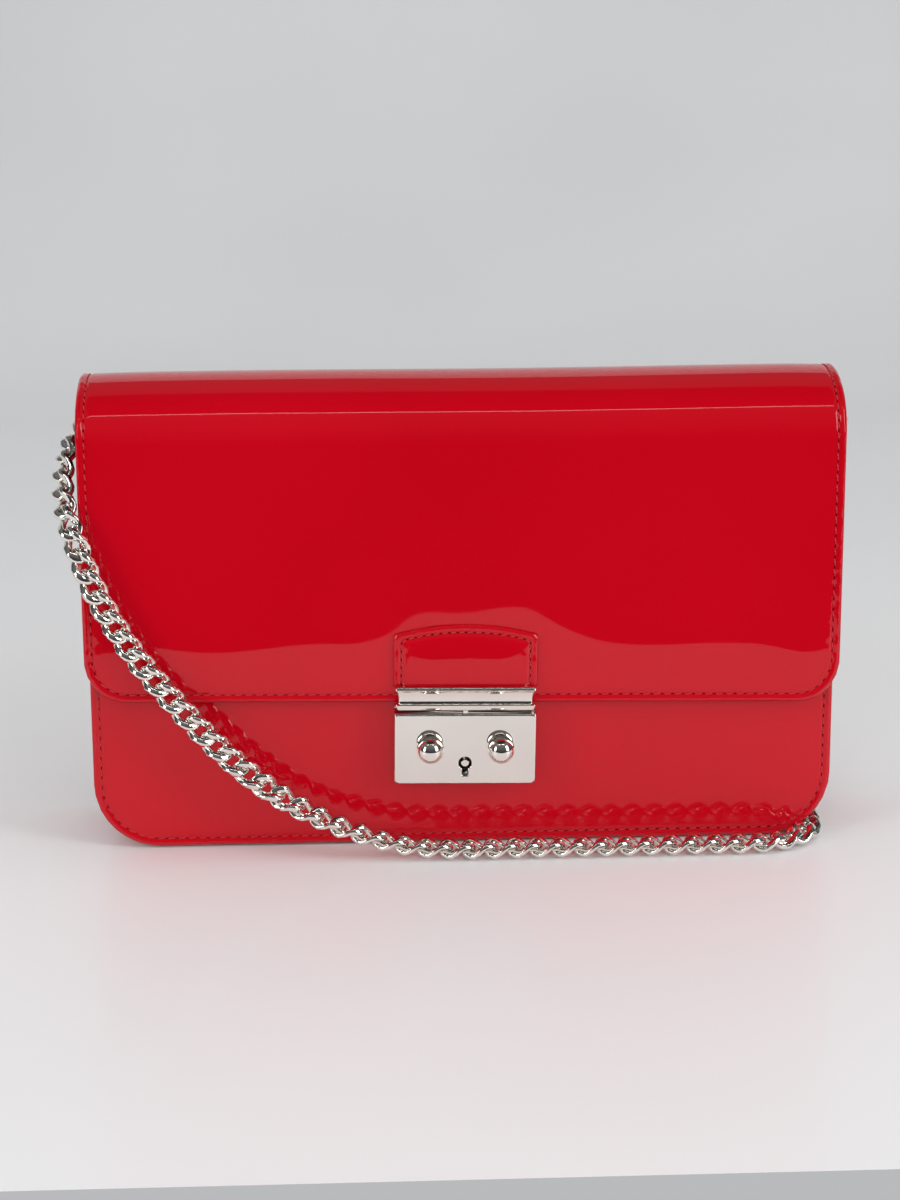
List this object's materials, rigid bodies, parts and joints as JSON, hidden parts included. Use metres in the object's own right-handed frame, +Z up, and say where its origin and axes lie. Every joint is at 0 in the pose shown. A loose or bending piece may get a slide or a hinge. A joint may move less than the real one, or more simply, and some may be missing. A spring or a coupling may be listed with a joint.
{
  "type": "clutch purse",
  "caption": "Structured patent-leather flap clutch with a squeeze lock, a barrel keyhole, strap rings and a curb chain strap.",
  "frame": {"origin": "centre of the purse's footprint on the floor, without the chain", "axes": "+X to the purse's left-hand side as seen from behind (the width), -Y the front with the flap and lock, +Z up"},
  "size_m": [0.2058, 0.1055, 0.1222],
  "materials": {
    "patent_leather": "high-gloss red patent leather with a clear coat, tone-on-tone stitching and painted edges",
    "stiffener": "bonded leather board, matt",
    "lining": "soft red kid leather lining, satin",
    "zip_tape": "woven polyester zip tape",
    "polished_metal": "polished silver-tone plating with fine wear scratches",
    "inner_metal": "satin steel",
    "brass": "machined brass",
    "tie_fabric": "soft white cotton tape"
  },
  "bodies": {
    "bag": {"front_panel": "patent_leather", "front_board": "stiffener", "front_lining": "lining", "back_panel": "patent_leather", "back_board": "stiffener", "back_lining": "lining", "gusset": "patent_leather", "gusset_lining": "lining", "slip_pocket": "lining", "zip_pocket": "lining", "zip_facing": "lining", "zip_tape_upper": "zip_tape", "zip_tape_lower": "zip_tape", "zip_teeth": "polished_metal", "zip_stop_left": "polished_metal", "zip_stop_right": "polished_metal", "lock_case": "polished_metal", "lock_plate": "polished_metal", "lock_backplate": "inner_metal", "key_post": "polished_metal", "lock_screw_1": "inner_metal", "lock_screw_2": "inner_metal", "lock_screw_3": "inner_metal", "lock_screw_4": "inner_metal", "ring_tab_left": "patent_leather", "ring_tab_right": "patent_leather", "chain_front": "polished_metal", "chain_hank": "polished_metal", "chain_rear": "polished_metal", "chain_tie": "tie_fabric"},
    "flap": {"flap_skin": "patent_leather", "flap_board": "stiffener", "flap_lining": "lining", "hasp_tab": "patent_leather", "hasp": "polished_metal", "hasp_backplate": "polished_metal", "hasp_rivet_left": "polished_metal", "hasp_rivet_right": "polished_metal"},
    "left_push": {"left_stud": "polished_metal", "left_bolt": "brass", "left_spring": "inner_metal"},
    "right_push": {"right_stud": "polished_metal", "right_bolt": "brass", "right_spring": "inner_metal"},
    "slider": {"zip_slider": "polished_metal"},
    "puller": {"zip_pull": "polished_metal"},
    "left_strap_ring": {"left_ring": "polished_metal"},
    "right_strap_ring": {"right_ring": "polished_metal"}
  },
  "joints": [
    {"name": "flap_hinge", "type": "hinge", "parent": "bag", "child": "flap", "pos_m": [0, 0.02455, 0.10615], "axis": [-1, 0, 0], "range_deg": [0, 165], "deforming": ["chain_front", "chain_rear"]},
    {"name": "left_stud_push", "type": "slide", "parent": "bag", "child": "left_push", "axis": [0.9999, 0, -0.0157], "range_m": [0, 0.0016], "stiffness_N_per_m": 150, "springref_m": -0.0005, "deforming": ["left_spring"]},
    {"name": "right_stud_push", "type": "slide", "parent": "bag", "child": "right_push", "axis": [-0.9999, 0, 0.0157], "range_m": [0, 0.0016], "stiffness_N_per_m": 150, "springref_m": -0.0005, "deforming": ["right_spring"]},
    {"name": "zip_slide", "type": "slide", "parent": "bag", "child": "slider", "axis": [-1, 0, 0], "range_m": [0, 0.128], "deforming": ["zip_teeth"]},
    {"name": "zip_pull_hinge", "type": "hinge", "parent": "slider", "child": "puller", "pos_m": [0.065, 0.01555, 0.087], "axis": [0, 0, 1], "range_deg": [0, 170]},
    {"name": "left_ring_hinge", "type": "hinge", "parent": "bag", "child": "left_strap_ring", "pos_m": [-0.0962, 0.0068, 0.1045], "axis": [0, -1, 0], "range_deg": [-45, 120], "deforming": ["chain_front"]},
    {"name": "right_ring_hinge", "type": "hinge", "parent": "bag", "child": "right_strap_ring", "pos_m": [0.0962, 0.0068, 0.1045], "axis": [0, 1, 0], "range_deg": [-45, 120], "deforming": ["chain_rear"]}
  ]
}
